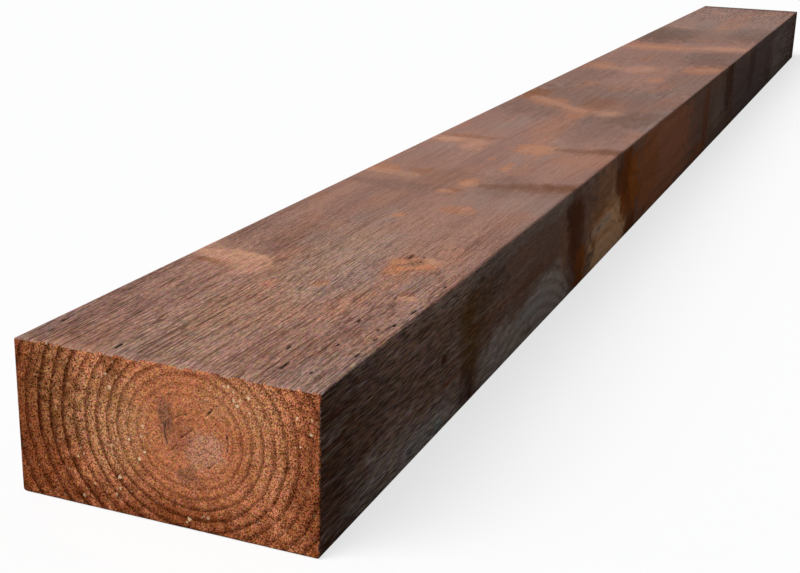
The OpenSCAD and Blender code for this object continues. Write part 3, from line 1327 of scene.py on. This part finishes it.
# %% [markdown]
# ### Grit, threads and hollows
#
# Pale threads stand where a sliver was lifted, and a fine grit covers everything, drawn out longer on
# the sides. A speckle turns it a little redder or greyer. All of them multiply the colour too. Inside
# the splits and tears a painted shade makes it nearly black.

# %% Grit of the sawn face
THREADS = {"scales": (70, 700, 700), "edge": (0.58, 0.7), "amounts": (1.05, 1.4), "detail": 1.0}
GRIT_SCALES = (260, 1150, 1150)
SIDE_GRIT_SCALES = (100, 1500, 1500)
GRIT_RANGE = (0.3, 0.7)
GRIT_SHARE = 0.3
MORE_SIDE_GRIT = 0.28
CALM_GRIT = 0.5
HUE_SCALES = (110, 620, 620)
HUE_STRENGTH = (0.6, 0.6, 0.9)
PAINTED_SPLIT_SHADE = (0.02, 0.01, 0.007, 1)
HOLLOW_RANGE = (0.1, 0.6)
HOLLOW_MOST = 0.95


def speckle(tree, place, scales, strength):
    """A colour that wavers round white, each of its channels by a noise of its own."""
    stretched = calc_vector(tree, "MULTIPLY", place, scales)
    hues = add_node(tree, "ShaderNodeTexNoise", {"Vector": stretched, "Scale": 1.0, "Detail": 1.0})
    off = calc_vector(tree, "SUBTRACT", hues.outputs["Color"], CENTRED)
    return calc_vector(tree, "MULTIPLY_ADD", off, strength, (1, 1, 1))


grit = fractal(tree, place, GRIT_SCALES, detail=1.0)
side_grit = fractal(tree, place, SIDE_GRIT_SCALES, detail=1.0)
grit = calc(tree, "MULTIPLY_ADD", beside, calc(tree, "SUBTRACT", side_grit, grit), grit)
gritty = calc(tree, "MULTIPLY_ADD", beside, MORE_SIDE_GRIT, GRIT_SHARE)
gritty = calc(tree, "MULTIPLY", gritty, ramp(tree, calm, 0, 1, 1, CALM_GRIT))
gritty = calc(tree, "MULTIPLY_ADD", ramp(tree, grit, *GRIT_RANGE, -1, 1), gritty, 1.0)
fibre = calc(tree, "MULTIPLY", noise_mask(tree, place, **THREADS), gritty)
fibre = calc(tree, "MULTIPLY_ADD", calc(tree, "SUBTRACT", fibre, 1.0), wear, 1.0)
colour = tint(tree, 1.0, colour, fibre, blend="MULTIPLY")
hue_strength = calc_vector(tree, "MULTIPLY", wear, HUE_STRENGTH)
colour = tint(tree, 1.0, colour, speckle(tree, place, HUE_SCALES, hue_strength), blend="MULTIPLY")
torn = add_node(tree, "ShaderNodeAttribute", attribute_name="hollow").outputs["Fac"]
# Painted shade inside the splits and tears, nearly black.
colour = tint(tree, ramp(tree, torn, *HOLLOW_RANGE, 0, HOLLOW_MOST), colour, PAINTED_SPLIT_SHADE)
print("grit and threads on the sawn face")

# %% [markdown]
# ### The shader of the long faces
#
# The lines and the grit also tilt the surface through a Bump node. They are read where they lie,
# without the flow round the knots, because a Bump node works its whole input out three times. Dry
# timber has no gloss, so the specular level is nothing.

# %% Sawn face shader
FACE_ROUGHNESS = 0.85
NO_GLOSS = 0.0
FLAT_LINE_EDGE = (0.5, 0.66)
RIDGE_SHARE = 0.5
FACE_BUMP = 0.8
BUMP_DISTANCE = 1 * MM


def finish_timber(colour, roughness, height_map, bump_strength):
    """Ends a timber material with a rough surface that a height map tilts."""
    bump = add_node(tree, "ShaderNodeBump", {
        "Height": height_map, "Strength": bump_strength, "Distance": BUMP_DISTANCE,
    })
    timber = add_node(tree, "ShaderNodeBsdfPrincipled", {
        "Base Color": colour, "Roughness": roughness, "Specular IOR Level": NO_GLOSS,
        "Normal": bump.outputs[0],
    })
    add_node(tree, "ShaderNodeOutputMaterial", {"Surface": timber.outputs[0]})


flat_lines = noise_mask(tree, place, DASH_SCALES, FLAT_LINE_EDGE, detail=1.0)
ridges = calc(tree, "MULTIPLY", calc(tree, "SUBTRACT", grit, flat_lines), RIDGE_SHARE)
height_map = calc(tree, "MULTIPLY", ridges, wear)
finish_timber(colour, FACE_ROUGHNESS, height_map, FACE_BUMP)
print(f"sawn face material with {len(tree.nodes)} nodes")

# %% [markdown]
# ## The sawn ends
#
# The cross-cut opens the ends of the fibres, so the ends drink the preservative and stay a warm
# orange brown. The rings are circles here, some crisp and some faint. The saw leaves a coarse tooth,
# a crowd of small ends of fibre that are each a little lighter or darker. A Voronoi texture gives every
# one of them a shade of its own.

# %% Sawn end rings and tooth
CRISPNESS = {"scales": (0, 30, 30), "edge": (0.35, 0.6), "amounts": (0.7, 1.0)}
FAINTER_SIDE = 0.8
TOOTH_CELLS = 1500.0
CELL_RANGE = (0.15, 0.85)
END_GRIT_SCALES = (700, 700, 700)
GRIT_IN_TOOTH = 0.2
HEART_REACH = (18 * MM, 75 * MM)
COARSE_SHARES = (0.5, 1.0)

sawn_end, tree = new_material("sawn_end")
place = add_node(tree, "ShaderNodeTexCoord").outputs["Object"]
rings = use_group(tree, growth_rings, {"Place": place})
crispness = noise_mask(tree, place, **CRISPNESS)
across = add_node(tree, "ShaderNodeSeparateXYZ", {0: place}).outputs["Y"]
crispness = calc(tree, "MULTIPLY", crispness, ramp(tree, across, low.y, HEART.y, FAINTER_SIDE, 1))
cells = add_node(tree, "ShaderNodeTexVoronoi", {"Vector": place, "Scale": TOOTH_CELLS}).outputs
shades = add_node(tree, "ShaderNodeSeparateXYZ", {0: cells["Color"]}).outputs
grit = fractal(tree, place, END_GRIT_SCALES, roughness=0.7)
tooth = calc(tree, "MULTIPLY", ramp(tree, grit, *GRIT_RANGE), GRIT_IN_TOOTH)
tooth = calc(tree, "MULTIPLY_ADD", ramp(tree, shades["X"], *CELL_RANGE), 1 - GRIT_IN_TOOTH, tooth)
heart_gap = from_centre(tree, place, heart_at(low.x), (FAR_AWAY, 1, 1))
coarse = ramp(tree, heart_gap, *HEART_REACH, *COARSE_SHARES)
print(f"sawn end with {len(tree.nodes)} nodes for its rings and its tooth")

# %% [markdown]
# ### The stains of the ends
#
# The outer timber took up the most preservative and is darkest at one side. The heart is harder and
# took less. It stays pink, with a grey crescent beside it. A stain that only darkens is laid on white
# first and multiplied with the colour at the end, so that the rings stay visible in it.

# %% Sawn end stains
EARLY_ORANGE = (0.49, 0.17, 0.073, 1)
LATE_RED_BROWN = (0.115, 0.028, 0.009, 1)
HEART_PINK = (0.48, 0.24, 0.15, 1)
HEART_GREY = (0.17, 0.075, 0.045, 1)
HEART_RED = (0.3, 0.1, 0.05, 1)
TAN_WOOD = (0.46, 0.225, 0.1, 1)
OUTER_SHADE = (0.38, 0.27, 0.17, 1)
END_MOTTLE_SCALES = (0, 130, 130)
BLOTCHES = {"scales": (30, 45, 45), "edge": (0.5, 0.75), "amounts": (0, 0.5), "detail": 3.0}
# Each stain: its middle as across and down, half its width and half its height, in mm, its colour,
# and its strength.
HEART_STAINS = (
    (127, 48, 18, 16, HEART_PINK, 0.6),
    (112, 42, 13, 14, HEART_RED, 0.6),
    (102, 31, 7, 13, HEART_GREY, 0.65),
    (116, 66, 10, 7, HEART_GREY, 0.6),
)
TAN_STAINS = (
    (30, 30, 30, 44, TAN_WOOD, 0.6),
    (66, 42, 30, 46, TAN_WOOD, 0.6),
    (150, 14, 36, 20, TAN_WOOD, 0.4),
    (168, 40, 20, 34, TAN_WOOD, 0.25),
)
OUTER_SHADES = (
    (-20, 60, 85, 130, OUTER_SHADE, 0.85),
    (90, 125, 190, 60, OUTER_SHADE, 0.8),
    (118, 91, 30, 8, OUTER_SHADE, 0.6),
    (68, 6, 10, 10, OUTER_SHADE, 0.6),
    (36, 20, 14, 16, OUTER_SHADE, 0.5),
    (206, 60, 36, 90, OUTER_SHADE, 0.7),
)


def end_oval(across, down, half_width, half_height):
    """The middle and the half sizes of an oval that runs through the baulk from the near end."""
    centre = (low.x, high.y - across * MM, high.z - down * MM)
    return centre, (length, half_width * MM, half_height * MM)


def stain_end(under, stains):
    """Lays soft stains over a colour of the ends."""
    for *oval, stain, strength in stains:
        centre, reach = end_oval(*oval)
        stained = use_group(tree, soft_stain, {
            "Under": under, "Place": place, "Centre": centre, "Reach": reach, "Stain": stain,
            "Strength": strength, "Mottle": mottle,
        })
        under = stained["Colour"]
    return under


mottle = frayed_edge(tree, place, END_MOTTLE_SCALES)
late_amount = calc(tree, "MULTIPLY", rings["Late wood"], crispness)
colour = tint(tree, late_amount, stain_end(EARLY_ORANGE, TAN_STAINS), LATE_RED_BROWN)
colour = stain_end(colour, HEART_STAINS)
colour = tint(tree, 1.0, colour, stain_end(WHITE, OUTER_SHADES), blend="MULTIPLY")
colour = tint(tree, noise_mask(tree, place, **BLOTCHES), colour, OUTER_SHADE, blend="MULTIPLY")
print(f"{len(TAN_STAINS + HEART_STAINS + OUTER_SHADES)} stains on the ends")

# %% [markdown]
# ### Pits and flecks of the ends
#
# Between the ends of fibre lie dark pits, and here and there a torn fibre stands up as a pale fleck.
# The flecks sit in patches. A second, wider Voronoi texture picks them out: only a cell that drew a
# high number carries one.

# %% Pits and flecks
TOOTH_SHADE = (0.17, 0.1, 0.055, 1)
TOOTH_LIGHT = (1.8, 1.9, 2.05, 1)
END_HUE_SCALES = (0, 850, 850)
END_HUE_STRENGTH = (0.9, 1.1, 1.6)
PIT_DARK = (0.045, 0.012, 0.004, 1)
PIT_CELLS = (0.86, 0.95)
PIT_GRIT = (0.6, 0.4)
PIT_MOST = 0.8
PALE_FLECK = (0.8, 0.55, 0.34, 1)
FLECK_CELLS = 380.0
FLECK_SHARE = 0.86
FLECK_SHRINK = 0.35
FLECK_EDGE = (1.05, 0.85)
FLECK_LEAST = 0.12
FLECK_STRENGTH = 0.85
# Each patch of pale flecks: its middle as across and down, half its width and half its height, in mm.
FLECK_PATCHES = (
    (70, 14, 12, 14),
    (80, 52, 14, 34),
    (60, 72, 22, 26),
    (42, 84, 14, 12),
    (150, 14, 20, 14),
    (186, 20, 12, 20),
    (122, 93, 14, 7),
)

colour = tint(tree, coarse, colour, tint(tree, tooth, TOOTH_SHADE, TOOTH_LIGHT), blend="MULTIPLY")
hues = speckle(tree, place, END_HUE_SCALES, END_HUE_STRENGTH)
colour = tint(tree, 1.0, colour, hues, blend="MULTIPLY")
pits = calc(tree, "MULTIPLY", ramp(tree, shades["Y"], *PIT_CELLS), ramp(tree, grit, *PIT_GRIT))
colour = tint(tree, calc(tree, "MULTIPLY", pits, PIT_MOST), colour, PIT_DARK)
fleck_cells = add_node(tree, "ShaderNodeTexVoronoi", {"Vector": place, "Scale": FLECK_CELLS}).outputs
drawn = add_node(tree, "ShaderNodeSeparateXYZ", {0: fleck_cells["Color"]}).outputs["X"]
smaller = ramp(tree, drawn, FLECK_SHARE, 1.0, FLECK_SHRINK, 0)
core = calc(tree, "ADD", calc(tree, "ADD", fleck_cells["Distance"], grit), smaller)
core = ramp(tree, core, *FLECK_EDGE)
clusters = FLECK_LEAST
for patch in FLECK_PATCHES:
    spread = calc(tree, "ADD", from_centre(tree, place, *end_oval(*patch)), mottle)
    clusters = calc(tree, "MAXIMUM", clusters, ramp(tree, spread, 1.0, OVAL_CORE))
flecks = calc(tree, "MULTIPLY", calc(tree, "GREATER_THAN", drawn, FLECK_SHARE), core)
flecks = calc(tree, "MULTIPLY", flecks, calc(tree, "MULTIPLY", clusters, FLECK_STRENGTH))
colour = tint(tree, flecks, colour, PALE_FLECK)
print(f"{len(FLECK_PATCHES)} patches of pale flecks on the ends")

# %% [markdown]
# ### The shader of the ends
#
# The tooth, the grit and the hard summer rings tilt the surface, and the splits get a painted shade inside.

# %% Sawn end shader
END_HOLLOW_RANGE = (0.1, 0.8)
END_HOLLOW_MOST = 0.7
END_ROUGHNESS = 0.9
CELL_RIDGE = 0.4
RING_RIDGE = 0.3
END_BUMP = 0.5

torn = add_node(tree, "ShaderNodeAttribute", attribute_name="hollow").outputs["Fac"]
# Painted shade inside the splits of the ends.
colour = tint(tree, ramp(tree, torn, *END_HOLLOW_RANGE, 0, END_HOLLOW_MOST), colour, PIT_DARK)
height_map = calc(tree, "MULTIPLY_ADD", shades["X"], CELL_RIDGE, grit)
height_map = calc(tree, "MULTIPLY_ADD", rings["Late wood"], RING_RIDGE, height_map)
finish_timber(colour, END_ROUGHNESS, height_map, END_BUMP)
print(f"sawn end material with {len(tree.nodes)} nodes")

# %% [markdown]
# ## The finished sleeper
#
# The mesh becomes one object with two materials, the long faces first and the ends second. It rides
# on the one body of the part and stands for the plain solid.

# %% Finish the sleeper
sleeper_mesh = bpy.data.meshes.new("sleeper_timber")
bm.to_mesh(sleeper_mesh)
bm.free()
for material in (sawn_face, sawn_end):
    sleeper_mesh.materials.append(material)
sleeper = bpy.data.objects.new("sleeper_timber", sleeper_mesh)
scene.collection.objects.link(sleeper)
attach(sleeper, "root")
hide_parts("sleeper")
triangles = sum(len(polygon.vertices) - 2 for polygon in sleeper_mesh.polygons)
print(f"sleeper of {triangles} triangles")
